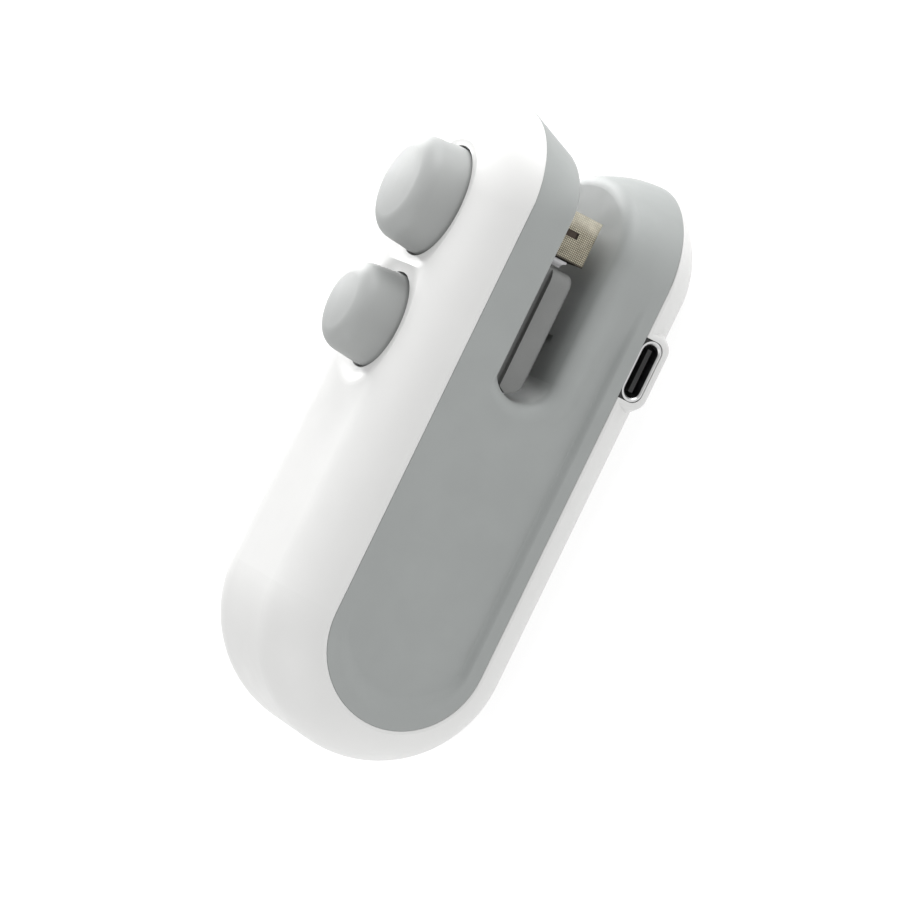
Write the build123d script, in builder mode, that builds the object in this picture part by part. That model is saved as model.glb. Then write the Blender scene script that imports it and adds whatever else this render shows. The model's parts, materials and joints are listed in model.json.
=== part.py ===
"""Pocket bag sealer and cutter: a two-button, battery-driven heat sealer with a slotted mouth.

Frame: +X from the round butt to the mouth, +Z up through the two buttons, Y across the body.
The origin is at the centre of the body's footprint, on the surface that it rests on.
The charging port is on the -Y side. All lengths are in millimetres.
"""

import os
from math import sqrt

from build123d import *

# ---------------------------------------------------------------- driving dimensions

LENGTH = 96.5  # butt to nose
HALF_HEIGHT = 19.1  # body without its buttons
SIDE = 18.2  # flat side faces, from the middle plane
CROWN_WIDTH = 20.0  # half-width that the rounded edges are struck from
EDGE_R = 12.6  # long rounded edges of the body
NOSE_REACH = 16.4  # semi-axis of the upper nose in plan
LOWER_BACK = 1.2  # how far the lower nose lies behind the upper one
WALL = 2.0  # outer shell
SEAM_R = 0.15  # edges along the seam between the shell and the core
TINY = 0.01  # tolerance for picking edges

PANEL_HALF = 12.5  # half-height of the grey core where it shows on the sides
RIM_HALF = 10.6  # half-height of the thumb dish inside the rim
DISH_R = 125.0  # crown of the dish floor
DISH_TOP = 6.0  # height at which the dish floor meets the side face
DISH_END = 27.0  # end of the dish towards the mouth
DISH_MARGIN = 0.6  # side face left between the dish and the lips of the slot
CORE_LID = 1.0  # core's top and bottom walls
CORE_SIDE = 16.2  # inner faces of the core's side walls

MID = HALF_HEIGHT  # height of the middle plane
BUTT_X = HALF_HEIGHT - LENGTH / 2
EDGE_AXIS = HALF_HEIGHT - EDGE_R
PANEL_TUCK = EDGE_R - sqrt(EDGE_R**2 - (PANEL_HALF - EDGE_AXIS) ** 2)
NOSE_X = LENGTH / 2 - NOSE_REACH + PANEL_TUCK

# Heights below are measured from the middle plane.
SLOT_FLOOR = -3.2  # lower jaw face
SLOT_ROOF = 5.9  # upper jaw face
SLOT_R = 4.6  # closed end of the mouth
SLOT_MID = SLOT_FLOOR + SLOT_R
SLOT_X = 13.45  # axis of the closed end
SLOT_SKIN = 1.2  # wall behind the slot faces
LOWER_LIP_R = 2.2
UPPER_LIP_R = 0.7
JAW_ROOT = 8.0  # where the jaws' lofts start, inside the core
JAW_BACK = 2.9  # how far the jaw faces lie behind the nose
JAW_STRAIGHT = 2.0  # extra straight side of the jaw faces
BULGE_DROP = 9.0  # height of the fullest part of the lower nose, below the middle plane
BULGE_BACK = 0.4  # how far that part lies behind the nose

SEAL_X = 30.4
SEAL_BASE_R = 8.45
CUT_X = 11.25
CUT_BASE_R = 7.25
CUT_TRAVEL = 2.6
BUTTON_GAP = 0.35  # running gap round each button
BUTTON_RISE = 6.7  # crown above the body
BUTTON_TAPER = 0.6
BUTTON_CROWN_R = 2.9
BUTTON_DOME = 0.7
BUTTON_WALL = 1.6
BUTTON_ROOF = 2.1
DIMPLE_WIDTH = 3.1
DIMPLE_DEPTH = 0.45
FLANGE_LIP = 1.05
FLANGE_TOP = 16.35
FLANGE_THICK = 1.15
ROD_R = 1.5
ROD_GAP = 0.06
BOSS_R = 2.6
BOSS_LENGTH = 3.0
ROD_CHAMFER = 0.2
SPRING_R = 4.0
SPRING_WIRE_R = 0.3
SPRING_TURNS = 6

ARM_TOP = 11.2  # top of both plungers inside the upper jaw
ARM_HALF = 6.0
ARM_START = 27.2
CONTACT_ARM_LOW = 10.0
CONTACT_ARM_END = 40.5
CONTACT_START = 38.1
CONTACT_LENGTH = 2.2
CONTACT_TAIL = 1.2
CONTACT_WIDTH = 2.0
CONTACT_PITCH = 7.0
CONTACT_THICK = 0.25
CHANNEL_END = 37.8  # open underside of the upper jaw
CHANNEL_START = 13.6

HEATER_START = 30.35
HEATER_WIDTH = 7.0
HEATER_HALF = 14.0
HEATER_FACE = -0.6
HEATER_TOP = 8.6
CARRIER_LIP = 1.0
BLOCK_INSET = 0.3
CLOTH = 0.25
CLOTH_BEND = 0.7
CLOTH_TOP = 7.6
WIRE_START = 33.65
WIRE_WIDTH = 1.0
WIRE_THICK = 0.15
NOTCH_LOW = 2.7
CLIP_START = 28.95
CLIP_REACH = 1.15
CLIP_HALF = 13.9
CLIP_SHEET = 0.4
CLIP_LOW = 2.1
CLIP_SCALLOP = 0.8

CARRIER_HALF = 15.5
CARRIER_END = 28.65
CARRIER_FACE = 0.3
CARRIER_TOP = 7.2
CARRIER_STEP = 3.9  # above this the carrier is narrower
STEP_HALF = 14.5
CARRIER_GAP = 0.35
CARRIER_ROUND = 2.2
CARRIER_EDGE_R = 0.8
WEB_LENGTH = 3.0
CUT_ARM_START = 7.5
CUT_ARM_LOW = 10.0
BLADE_X = 19.5
BLADE_DROP = 1.3
BLADE_THICK = 0.5
BLADE_HALF = 8.0
BLADE_TOP = 4.5
GROOVE_DEPTH = 0.8
GROOVE_HALF = 0.6

PAD_START = 29.4
PAD_WIDTH = 8.2
PAD_HALF = 14.4
PAD_RISE = 0.25
PAD_SUNK = 0.8
PAD_GAP = 0.05
PAD_EDGE_R = 0.2

PORT_X = 20.85
PORT_DROP = 14.2  # port axis below the middle plane
PORT_WIDTH = 8.94
PORT_HEIGHT = 3.16
PORT_DEPTH = 7.7
PORT_SHEET = 0.3
PORT_FACE = 18.05
PORT_LIP_WIDTH = 9.4  # thin flange round the socket's mouth
PORT_LIP_HEIGHT = 3.34
PORT_LIP_THICK = 0.13
PORT_LIP_BEVEL = 0.2
TONGUE_BASE = 1.4
TONGUE_WIDTH = 6.7
TONGUE_THICK = 0.7
TONGUE_SETBACK = 0.6
BEZEL_SETBACK = 0.3
BEZEL_GAP = 0.02
BOSS_HALF = 5.6
BOSS_LOW = 17.1
BOSS_ROUND = 2.4
BOSS_FLARE = 3.0  # how much wider the boss is where it leaves the body
BOSS_EDGE_R = 0.8
BOSS_BACK = 11.0
RECESS_HALF = 4.78
RECESS_LOW = 15.95
RECESS_DEEP = 1.2
RECESS_ROUND = 1.6
SOCKET_GAP = 0.1

CELL_R = 7.0
CELL_LENGTH = 43.0
CELL_START = -36.9
CELL_NUB = 1.0
CELL_NUB_R = 2.8
CELL_EDGE_R = 0.6
TAB_THICK = 0.2
TAB_WIDTH = 5.0
TAB_DROP = 7.6
LEAD_R = 0.6
LEAD_HOLE_R = 0.9
FRONT_LEAD_X = 6.3
REAR_LEAD_X = -12.0

BOARD_START = -20.0
BOARD_LENGTH = 49.0
BOARD_HALF = 8.8
BOARD_TOP = -15.85
BOARD_THICK = 0.8
BOARD_ROUND = 1.0
TONGUE_REACH = 12.2
CHIP_CHAMFER = 0.1

EAR_HALF = 2.6
EAR_TIP = 16.3
EAR_SCREW = 14.3
EAR_REACH = 5.0
UPPER_EARS = (-22.0, -6.0)
LOWER_EARS = (-26.0, 33.5)
SCREW_R = 1.0
SCREW_HEAD_R = 1.7
SCREW_HEAD = 1.2
SCREW_GAP = 0.05
SCREW_LENGTH = 9.0
SCREW_SLOT = 0.5

DOWN = (Align.CENTER, Align.CENTER, Align.MAX)
UP = (Align.CENTER, Align.CENTER, Align.MIN)
FROM_START = (Align.MIN, Align.CENTER, Align.MIN)
INTO_SHELL = (Align.CENTER, Align.MAX, Align.MAX)

SIDE_VIEW = Plane(origin=(0, 0, MID), x_dir=(1, 0, 0), z_dir=(0, -1, 0))  # X along, height up
END_VIEW = Plane(origin=(0, 0, MID), x_dir=(0, 1, 0), z_dir=(1, 0, 0))  # Y along, height up

os.makedirs("parts", exist_ok=True)


def save(piece, name):
    """Label a finished piece and write it."""
    piece.part.label = name
    export_step(piece.part, f"parts/{name}.step")


def level(height):
    """A horizontal plane at a height from the middle plane."""
    return Plane.XY.offset(MID + height)


# ---------------------------------------------------------------- shared profiles and forms


def nose_outline(start, centre, reach, half):
    """Plan face with straight sides from start to centre and a half-elliptical nose."""
    with BuildSketch() as outline:
        with BuildLine():
            Line((start, half), (centre, half))
            EllipticalCenterArc((centre, 0), reach, half, start_angle=-90, arc_size=180)
            Line((centre, -half), (start, -half))
            Line((start, -half), (start, half))
        make_face()
    return outline.sketch


def panel_outline(half, end):
    """Side-view face, round at the butt and straight to end."""
    with BuildSketch() as outline:
        with Locations((BUTT_X, 0)):
            Circle(half)
            Rectangle(end - BUTT_X, 2 * half, align=(Align.MIN, Align.CENTER))
    return outline.sketch


def slot_outline(grow, rise=0.0):
    """Side-view face of the mouth slot, grown all round and raised."""
    with BuildSketch() as outline:
        with Locations((SLOT_X, SLOT_MID + rise)):
            Circle(SLOT_R + grow)
            Rectangle(LENGTH, 2 * (SLOT_R + grow), align=(Align.MIN, Align.CENTER))
        with Locations((SLOT_X, SLOT_FLOOR - grow + rise)):
            tall = SLOT_ROOF - SLOT_FLOOR + 2 * grow
            Rectangle(2 * LENGTH, tall, align=(Align.CENTER, Align.MIN), mode=Mode.INTERSECT)
    return outline.sketch


def port_outline(grow):
    """Side-view face of the socket's rounded outline."""
    with BuildSketch() as outline:
        with Locations((PORT_X, -PORT_DROP)):
            SlotOverall(PORT_WIDTH + 2 * grow, PORT_HEIGHT + 2 * grow)
    return outline.sketch


def body_form(inset):
    """The body's outer form, drawn in by inset all round."""
    width = CROWN_WIDTH - inset
    height = HALF_HEIGHT - inset
    radius = EDGE_R - inset
    with BuildPart() as form:
        for centre, side in ((NOSE_X, 1), (NOSE_X - LOWER_BACK, -1)):
            with BuildSketch(level(0)):
                add(nose_outline(BUTT_X, centre, NOSE_REACH - inset, width))
            extrude(amount=side * height)
        caps = form.faces().filter_by(Axis.Z).group_by(Axis.Z)
        outer_caps = caps[0] + caps[-1]
        fillet(outer_caps.edges().filter_by(Axis.Y, reverse=True), radius)
        with BuildSketch(Plane(origin=(BUTT_X, 0, MID), x_dir=(0, 1, 0), z_dir=(1, 0, 0))):
            RectangleRounded(2 * width, 2 * height, radius)
            Rectangle(2 * width, height, align=(Align.CENTER, Align.MAX), mode=Mode.SUBTRACT)
        revolve(axis=Axis((BUTT_X, 0, MID), (0, -1, 0)), revolution_arc=180)
    return form.part


def in_slot_end(edge):
    """Whether an edge runs round the closed end of the mouth slot."""
    return edge.geom_type == GeomType.CIRCLE and abs(edge.radius - SLOT_R) < TINY


def core_form():
    """The grey core's outer form: two jaws with softened lips, and a thumb dish in each side."""
    edge_reach = NOSE_REACH - PANEL_TUCK
    face_reach = edge_reach - JAW_STRAIGHT - JAW_BACK
    lower_nose = NOSE_X - LOWER_BACK
    with BuildPart() as form:
        with BuildSketch(SIDE_VIEW):
            add(panel_outline(PANEL_HALF, NOSE_X - JAW_ROOT))
        extrude(amount=SIDE, both=True)
        for sections in (
            ((SLOT_ROOF, NOSE_X + JAW_STRAIGHT, face_reach), (PANEL_HALF, NOSE_X, edge_reach)),
            (
                (SLOT_FLOOR, lower_nose + JAW_STRAIGHT, face_reach),
                (-BULGE_DROP, lower_nose + JAW_STRAIGHT / 3, edge_reach - JAW_STRAIGHT / 3 - BULGE_BACK),
                (-PANEL_HALF, lower_nose, edge_reach),
            ),
        ):
            for height, centre, reach in sections:
                with BuildSketch(level(height)):
                    add(nose_outline(JAW_ROOT, centre, reach, SIDE))
            loft(ruled=len(sections) == 2)
        with BuildSketch(SIDE_VIEW):
            add(slot_outline(0.0))
        extrude(amount=SIDE + 1, both=True, mode=Mode.SUBTRACT)

        jaw_faces = form.faces().filter_by(Axis.Z).sort_by(Axis.Z)
        lower_lip = jaw_faces[1].edges().filter_by(Axis.Y, reverse=True)
        slot_end = form.edges().filter_by(in_slot_end)
        fillet(lower_lip + slot_end, LOWER_LIP_R)
        jaw_faces = form.faces().filter_by(Axis.Z).sort_by(Axis.Z)
        fillet(jaw_faces[2].edges().filter_by(Axis.Y, reverse=True), UPPER_LIP_R)
    return form.part


def core_hollow():
    """The space inside the core, round both sides of the mouth slot."""
    jaw_reach = NOSE_REACH - PANEL_TUCK - JAW_STRAIGHT - JAW_BACK - (SIDE - CORE_SIDE)
    lid = PANEL_HALF - CORE_LID
    with BuildPart() as hollow:
        with BuildSketch(SIDE_VIEW):
            add(panel_outline(lid, NOSE_X - JAW_ROOT))
        extrude(amount=CORE_SIDE, both=True)
        for low, high, centre in (
            (SLOT_ROOF + SLOT_SKIN, lid, NOSE_X),
            (-lid, SLOT_FLOOR - SLOT_SKIN, NOSE_X - LOWER_BACK),
        ):
            with BuildSketch(level(low)):
                add(nose_outline(JAW_ROOT, centre + JAW_STRAIGHT, jaw_reach, CORE_SIDE))
            extrude(amount=high - low)
        with BuildSketch(SIDE_VIEW):
            add(slot_outline(SLOT_SKIN))
        extrude(amount=SIDE, both=True, mode=Mode.SUBTRACT)
    return hollow.part


def dish_cutter():
    """What the thumb dish takes out of the near side face: rounded rim, crowned floor."""
    with BuildPart() as cutter:
        with BuildSketch(SIDE_VIEW.offset(SIDE)):
            add(panel_outline(RIM_HALF, DISH_END))
            with Locations((DISH_END, 0)):
                Rectangle(LENGTH, LENGTH, align=(Align.MIN, Align.CENTER), mode=Mode.SUBTRACT)
            add(slot_outline(LOWER_LIP_R + DISH_MARGIN), mode=Mode.SUBTRACT)
        extrude(amount=-WALL)
        with Locations(Location((0, DISH_R - SIDE, MID + DISH_TOP), (0, 90, 0))):
            Cylinder(DISH_R, 2 * LENGTH, mode=Mode.SUBTRACT)
    return cutter.part


def ear(x, side):
    """One screw ear, above (+1) or below (-1) the core, for the core part that is being built."""
    span = EAR_TIP - PANEL_HALF
    with Locations((x, 0, MID + side * (PANEL_HALF + span / 2))):
        Box(2 * EAR_HALF, 2 * EAR_REACH, span)
    with Locations(Location((x, 0, MID + side * EAR_SCREW), (90, 0, 0))):
        Cylinder(SCREW_R + SCREW_GAP, 2 * EAR_REACH, mode=Mode.SUBTRACT)
    with Locations(Location((x, EAR_REACH, MID + side * EAR_SCREW), (90, 0, 0))):
        Cylinder(SCREW_HEAD_R + SCREW_GAP, 2 * SCREW_HEAD, mode=Mode.SUBTRACT)


EARS = [(x, 1) for x in UPPER_EARS] + [(x, -1) for x in LOWER_EARS]


def on_seam(edge):
    """Whether an edge lies on the visible line between the shell and the core."""
    spots = (edge @ 0, edge @ 0.5, edge @ 1)
    straight = all(abs(abs(spot.Z - MID) - PANEL_HALF) < TINY for spot in spots)
    butt = edge.geom_type == GeomType.CIRCLE and abs(edge.radius - PANEL_HALF) < TINY
    outside = abs(abs(spots[1].Y) - SIDE) < TINY or spots[1].X > LENGTH / 2 - WALL
    return (straight or butt) and outside


# ---------------------------------------------------------------- outer shell

with BuildPart() as port_boss:
    for depth, flare in ((SIDE, 0.0), (BOSS_BACK, BOSS_FLARE)):
        with BuildSketch(SIDE_VIEW.offset(depth)):
            with Locations((PORT_X, -BOSS_LOW)):
                size = (2 * (BOSS_HALF + flare), BOSS_LOW)
                RectangleRounded(*size, BOSS_ROUND, align=(Align.CENTER, Align.MIN))
    loft(ruled=True)
    front = port_boss.faces().sort_by(Axis.Y)[0]
    fillet(front.edges(), BOSS_EDGE_R)

with BuildPart() as outer_shell:
    add(body_form(0.0))
    Box(2 * LENGTH, 2 * SIDE, 4 * HALF_HEIGHT, mode=Mode.INTERSECT)
    add(port_boss.part)
    add(body_form(WALL), mode=Mode.SUBTRACT)
    with BuildSketch(SIDE_VIEW):
        add(panel_outline(PANEL_HALF, LENGTH))
    extrude(amount=SIDE + 1, both=True, mode=Mode.SUBTRACT)
    fillet(outer_shell.edges().filter_by(on_seam), SEAM_R)
    for x, base in ((SEAL_X, SEAL_BASE_R), (CUT_X, CUT_BASE_R)):
        hole = base + BUTTON_GAP
        with Locations((x, 0, 2 * HALF_HEIGHT)):
            Cylinder(hole, 4 * WALL, mode=Mode.SUBTRACT)
        with BuildSketch(Plane(origin=(x, 0, 2 * HALF_HEIGHT), x_dir=(1, 0, 0), z_dir=(0, -1, 0))):
            inner = (hole, -DIMPLE_DEPTH)
            middle = (hole + DIMPLE_WIDTH / 2, -DIMPLE_DEPTH / 2)
            outer = (hole + DIMPLE_WIDTH, 0)
            with BuildLine():
                TangentArc(inner, middle, tangent=(1, 0))
                TangentArc(outer, middle, tangent=(-1, 0))
                Polyline(outer, (outer[0], WALL), (0, WALL), (0, -DIMPLE_DEPTH), inner)
            make_face()
        revolve(axis=Axis((x, 0, 0), (0, 0, 1)), mode=Mode.SUBTRACT)
    with BuildSketch(SIDE_VIEW.offset(SIDE)):
        with Locations((PORT_X, -RECESS_LOW)):
            RectangleRounded(2 * RECESS_HALF, RECESS_LOW, RECESS_ROUND, align=(Align.CENTER, Align.MIN))
    extrude(amount=-RECESS_DEEP, mode=Mode.SUBTRACT)
    with BuildSketch(SIDE_VIEW.offset(SIDE)):
        add(port_outline(SOCKET_GAP))
        with Locations((PORT_X, -PORT_DROP)):
            Rectangle(PORT_WIDTH, PORT_HEIGHT / 2, align=(Align.CENTER, Align.MIN))
    extrude(amount=BOARD_HALF - SIDE, mode=Mode.SUBTRACT)
    with Locations((PORT_X, -BOARD_HALF, MID + BOARD_TOP + SOCKET_GAP)):
        pocket = BOARD_THICK + 2 * SOCKET_GAP
        size = (PORT_WIDTH, TONGUE_REACH - BOARD_HALF + SOCKET_GAP, pocket)
        Box(*size, align=INTO_SHELL, mode=Mode.SUBTRACT)
save(outer_shell, "outer_shell")

# ---------------------------------------------------------------- grey core, in two halves

dish = dish_cutter()
with BuildPart() as core:
    add(core_form())
    add(body_form(0.0), mode=Mode.INTERSECT)
    fillet(core.edges().filter_by(on_seam), SEAM_R)
    add(dish, mode=Mode.SUBTRACT)
    add(dish.mirror(Plane.XZ), mode=Mode.SUBTRACT)
    add(core_hollow(), mode=Mode.SUBTRACT)
    for x, side in EARS:
        ear(x, side)
    with Locations((CHANNEL_START, 0, MID + SLOT_ROOF - UPPER_LIP_R)):
        size = (CHANNEL_END - CHANNEL_START, 2 * CORE_SIDE, SLOT_SKIN + 2 * UPPER_LIP_R)
        Box(*size, align=FROM_START, mode=Mode.SUBTRACT)
    with Locations((SEAL_X, 0, MID + PANEL_HALF), (CUT_X, 0, MID + PANEL_HALF)):
        Cylinder(ROD_R + ROD_GAP, 4 * CORE_LID, mode=Mode.SUBTRACT)
    with Locations((FRONT_LEAD_X, 0, MID - PANEL_HALF), (REAR_LEAD_X, 0, MID - PANEL_HALF)):
        Cylinder(LEAD_HOLE_R, 4 * CORE_LID, mode=Mode.SUBTRACT)
    with Locations((PAD_START, 0, MID + SLOT_FLOOR)):
        size = (PAD_WIDTH, 2 * PAD_HALF, 2 * PAD_SUNK)
        Box(*size, align=(Align.MIN, Align.CENTER, Align.CENTER), mode=Mode.SUBTRACT)
    with Locations((BLADE_X, 0, MID + SLOT_FLOOR)):
        Box(2 * GROOVE_HALF, 2 * (BLADE_HALF + 1), 2 * GROOVE_DEPTH, mode=Mode.SUBTRACT)

for name, keep in (("core_half_near", Keep.TOP), ("core_half_far", Keep.BOTTOM)):
    with BuildPart() as half:
        add(core.part)
        split(bisect_by=Plane.XZ, keep=keep)
    save(half, name)

with BuildPart() as silicone_pad:
    with BuildSketch(level(SLOT_FLOOR - PAD_SUNK)):
        with Locations((PAD_START + PAD_WIDTH / 2, 0)):
            Rectangle(PAD_WIDTH - 2 * PAD_GAP, 2 * (PAD_HALF - PAD_GAP))
    extrude(amount=PAD_SUNK + PAD_RISE)
    pad_top = silicone_pad.faces().sort_by(Axis.Z)[-1]
    fillet(pad_top.edges(), PAD_EDGE_R)
save(silicone_pad, "silicone_pad")

# ---------------------------------------------------------------- buttons, rods and springs


def button(x, base_r):
    """A hollow push button with a domed crown, a tapered wall and a stop flange inside the shell."""
    top = HALF_HEIGHT + BUTTON_RISE
    shoulder = (base_r - BUTTON_TAPER, top - BUTTON_DOME)
    with BuildPart() as knob:
        with BuildSketch(Plane(origin=(x, 0, MID), x_dir=(1, 0, 0), z_dir=(0, -1, 0))):
            with BuildLine():
                Polyline((0, top), (0, FLANGE_TOP), (base_r, FLANGE_TOP), (base_r, HALF_HEIGHT), shoulder)
                TangentArc((0, top), shoulder, tangent=(1, 0))
            make_face()
        revolve(axis=Axis((x, 0, 0), (0, 0, 1)))
        crown = knob.edges().filter_by(lambda edge: edge.is_closed).sort_by(Axis.Z)[-1]
        fillet(crown, BUTTON_CROWN_R)
        with BuildSketch(level(FLANGE_TOP - FLANGE_THICK)):
            with Locations((x, 0)):
                Circle(base_r + FLANGE_LIP)
        extrude(amount=FLANGE_THICK)
        with Locations((x, 0, MID + top - BUTTON_ROOF)):
            Cylinder(base_r - BUTTON_WALL, HALF_HEIGHT, align=DOWN, mode=Mode.SUBTRACT)
            Cylinder(BOSS_R, BOSS_LENGTH, align=DOWN)
            Cylinder(ROD_R, BOSS_LENGTH, align=DOWN, mode=Mode.SUBTRACT)
    return knob


def rod(x, foot):
    """The rod from a button's boss down to its plunger."""
    length = HALF_HEIGHT + BUTTON_RISE - BUTTON_ROOF - foot
    with BuildPart() as stem:
        with Locations((x, 0, MID + foot)):
            Cylinder(ROD_R, length, align=UP)
        chamfer(stem.edges().filter_by(GeomType.CIRCLE), ROD_CHAMFER)
    return stem


def spring(x):
    """The return spring round a rod, from the core's lid to the button's roof."""
    foot = PANEL_HALF + SPRING_WIRE_R
    height = HALF_HEIGHT + BUTTON_RISE - BUTTON_ROOF - SPRING_WIRE_R - foot
    with BuildPart() as coil:
        with BuildLine() as path:
            Helix(height / SPRING_TURNS, height, SPRING_R, center=(x, 0, MID + foot))
        with BuildSketch(Plane(origin=path.line @ 0, z_dir=path.line % 0)):
            Circle(SPRING_WIRE_R)
        sweep(is_frenet=True)
    return coil


for name, x, base_r, foot in (
    ("seal", SEAL_X, SEAL_BASE_R, HEATER_TOP + CARRIER_LIP),
    ("cut", CUT_X, CUT_BASE_R, CUT_ARM_LOW),
):
    save(button(x, base_r), f"{name}_button")
    save(rod(x, foot), f"{name}_rod")
    save(spring(x), f"{name}_spring")

# ---------------------------------------------------------------- heater plunger

ARM_LOW = HEATER_TOP + CARRIER_LIP

with BuildPart() as heater_carrier:
    with Locations((HEATER_START, 0, MID + HEATER_TOP)):
        Box(HEATER_WIDTH, 2 * (HEATER_HALF - CLOTH), ARM_TOP - HEATER_TOP, align=FROM_START)
    with Locations((ARM_START, 0, MID + ARM_LOW)):
        Box(HEATER_START + HEATER_WIDTH - ARM_START, 2 * ARM_HALF, ARM_TOP - ARM_LOW, align=FROM_START)
    with Locations((HEATER_START, 0, MID + CONTACT_ARM_LOW)):
        Box(CONTACT_ARM_END - HEATER_START, 2 * ARM_HALF, ARM_TOP - CONTACT_ARM_LOW, align=FROM_START)
    with Locations((SEAL_X, 0, MID + ARM_LOW)):
        Cylinder(ROD_R, 2 * ARM_TOP, mode=Mode.SUBTRACT)
save(heater_carrier, "heater_carrier")

with BuildPart() as heater_block:
    skin = CLOTH + WIRE_THICK
    with Locations((HEATER_START + BLOCK_INSET, 0, MID + HEATER_FACE + skin)):
        block_height = HEATER_TOP - HEATER_FACE - skin
        Box(HEATER_WIDTH - 2 * BLOCK_INSET, 2 * (HEATER_HALF - skin), block_height, align=FROM_START)
    under = heater_block.edges().filter_by(Axis.X).group_by(Axis.Z)[0]
    fillet(under, CLOTH_BEND - skin)
save(heater_block, "heater_block")


def wrapped_strip(start, width, depth, thick):
    """A strip folded up round both ends of the heater block, depth below its outermost layer."""
    with BuildPart() as strip:
        with BuildSketch(END_VIEW.offset(start)):
            for inset, mode in ((depth, Mode.ADD), (depth + thick, Mode.SUBTRACT)):
                bend = CLOTH_BEND - inset
                span = CLOTH_TOP - HEATER_FACE
                with Locations((0, HEATER_FACE + inset)):
                    size = (2 * (HEATER_HALF - inset), 2 * span)
                    RectangleRounded(*size, bend, align=(Align.CENTER, Align.MIN), mode=mode)
            with Locations((0, CLOTH_TOP)):
                size = (4 * HEATER_HALF, 4 * HEATER_HALF)
                Rectangle(*size, align=(Align.CENTER, Align.MIN), mode=Mode.SUBTRACT)
        extrude(amount=width)
    return strip


with BuildPart() as ptfe_cloth:
    add(wrapped_strip(HEATER_START, HEATER_WIDTH, 0.0, CLOTH).part)
    with Locations((WIRE_START, 0, MID + NOTCH_LOW)):
        Box(WIRE_WIDTH, 4 * HEATER_HALF, CLOTH_TOP, align=FROM_START, mode=Mode.SUBTRACT)
save(ptfe_cloth, "ptfe_cloth")
save(wrapped_strip(WIRE_START, WIRE_WIDTH, CLOTH, WIRE_THICK), "heating_wire")

with BuildPart() as heater_clip:
    with BuildSketch(level(CLIP_LOW)):
        with Locations((CLIP_START, 0)):
            Rectangle(CLIP_REACH, 2 * CLIP_HALF, align=(Align.MIN, Align.CENTER))
            size = (CLIP_REACH - CLIP_SHEET, 2 * (CLIP_HALF - CLIP_SHEET))
            Rectangle(*size, align=(Align.MIN, Align.CENTER), mode=Mode.SUBTRACT)
    extrude(amount=ARM_LOW - CLIP_LOW)
    with Locations(Location((CLIP_START, 0, MID + CLIP_LOW), (90, 0, 0))):
        Cylinder(CLIP_SCALLOP, 4 * CLIP_HALF, mode=Mode.SUBTRACT)
save(heater_clip, "heater_clip")

CONTACT_PLACES = [(CONTACT_START, y) for y in (-CONTACT_PITCH / 2, CONTACT_PITCH / 2)]
for name, height, length in (
    ("moving_contacts", CONTACT_ARM_LOW - CONTACT_THICK, CONTACT_LENGTH),
    ("fixed_contacts", SLOT_ROOF + SLOT_SKIN, CONTACT_LENGTH + CONTACT_TAIL),
):
    with BuildPart() as contacts:
        with BuildSketch(level(height)):
            with Locations(*CONTACT_PLACES):
                Rectangle(length, CONTACT_WIDTH, align=(Align.MIN, Align.CENTER))
        extrude(amount=CONTACT_THICK)
    save(contacts, name)

# ---------------------------------------------------------------- cutter plunger

with BuildPart() as blade_carrier:
    with BuildSketch(SIDE_VIEW):
        add(slot_outline(-CARRIER_GAP))
        add(slot_outline(-CARRIER_GAP, rise=CUT_TRAVEL), mode=Mode.INTERSECT)
        with Locations((CARRIER_END, CARRIER_FACE)):
            Rectangle(LENGTH, LENGTH, align=(Align.MAX, Align.MIN), mode=Mode.INTERSECT)
        with Locations((CHANNEL_START + CARRIER_GAP, SLOT_MID)):
            shoulder = CARRIER_END - CHANNEL_START - CARRIER_GAP
            Rectangle(shoulder, CARRIER_TOP - SLOT_MID, align=(Align.MIN, Align.MIN))
    extrude(amount=CARRIER_HALF, both=True)
    corners = blade_carrier.edges().filter_by(Axis.Z).group_by(Axis.X)[-1]
    fillet(corners, CARRIER_ROUND)
    rim = blade_carrier.faces().sort_by(Axis.Z)[0].edges()
    fillet(rim, CARRIER_EDGE_R)
    for side in (-1, 1):
        with Locations((0, side * (STEP_HALF + CARRIER_HALF / 2), MID + CARRIER_STEP)):
            Box(LENGTH, CARRIER_HALF, LENGTH, align=UP, mode=Mode.SUBTRACT)
    web_start = CHANNEL_START + CARRIER_GAP
    with Locations((web_start, 0, MID + CARRIER_TOP - CARRIER_GAP)):
        Box(WEB_LENGTH, 2 * ARM_HALF, ARM_TOP - CARRIER_TOP + CARRIER_GAP, align=FROM_START)
    with Locations((CUT_ARM_START, 0, MID + CUT_ARM_LOW)):
        Box(web_start + WEB_LENGTH - CUT_ARM_START, 2 * ARM_HALF, ARM_TOP - CUT_ARM_LOW, align=FROM_START)
    with Locations((CUT_X, 0, MID + CUT_ARM_LOW)):
        Cylinder(ROD_R, 2 * ARM_TOP, mode=Mode.SUBTRACT)
    with Locations((BLADE_X, 0, MID)):
        Box(BLADE_THICK, 2 * BLADE_HALF, 2 * BLADE_TOP, mode=Mode.SUBTRACT)
save(blade_carrier, "blade_carrier")

with BuildPart() as cutting_blade:
    with BuildSketch(END_VIEW.offset(BLADE_X - BLADE_THICK / 2)):
        tip = CARRIER_FACE - BLADE_DROP
        with BuildLine():
            Polyline(
                (-BLADE_HALF, BLADE_TOP),
                (-BLADE_HALF, CARRIER_FACE + BLADE_DROP),
                (0, tip),
                (BLADE_HALF, CARRIER_FACE + BLADE_DROP),
                (BLADE_HALF, BLADE_TOP),
                close=True,
            )
        make_face()
    extrude(amount=BLADE_THICK)
save(cutting_blade, "cutting_blade")

# ---------------------------------------------------------------- charging port

PORT_FRAME = Plane(origin=(PORT_X, -PORT_FACE, MID - PORT_DROP), x_dir=(1, 0, 0), z_dir=(0, -1, 0))

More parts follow.
